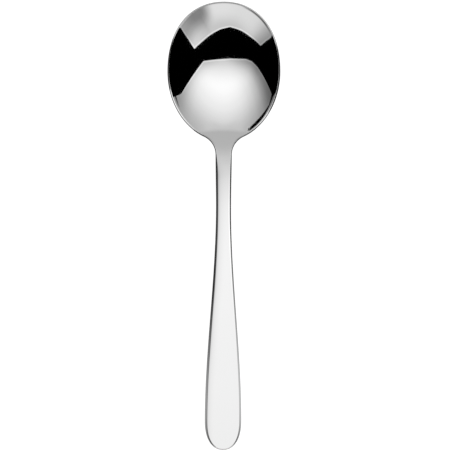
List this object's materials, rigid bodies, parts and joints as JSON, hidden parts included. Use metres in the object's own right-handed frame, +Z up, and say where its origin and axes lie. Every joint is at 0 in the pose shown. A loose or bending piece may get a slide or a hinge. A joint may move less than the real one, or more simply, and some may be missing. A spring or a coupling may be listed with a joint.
{
  "type": "soup spoon",
  "caption": "Polished steel soup spoon with a broad oval bowl, a narrow neck and an arched handle that widens to a rounded end.",
  "frame": {"origin": "on the table, below the middle of the spoon's length, with the spoon lying bowl up", "axes": "+X across the spoon, +Y along it from the handle's end to the bowl's tip, +Z up from the table"},
  "size_m": [0.0452, 0.18, 0.0186],
  "materials": {
    "polished_steel": "polished"
  },
  "bodies": {
    "root": {"bowl": "polished_steel", "handle": "polished_steel"}
  },
  "joints": []
}
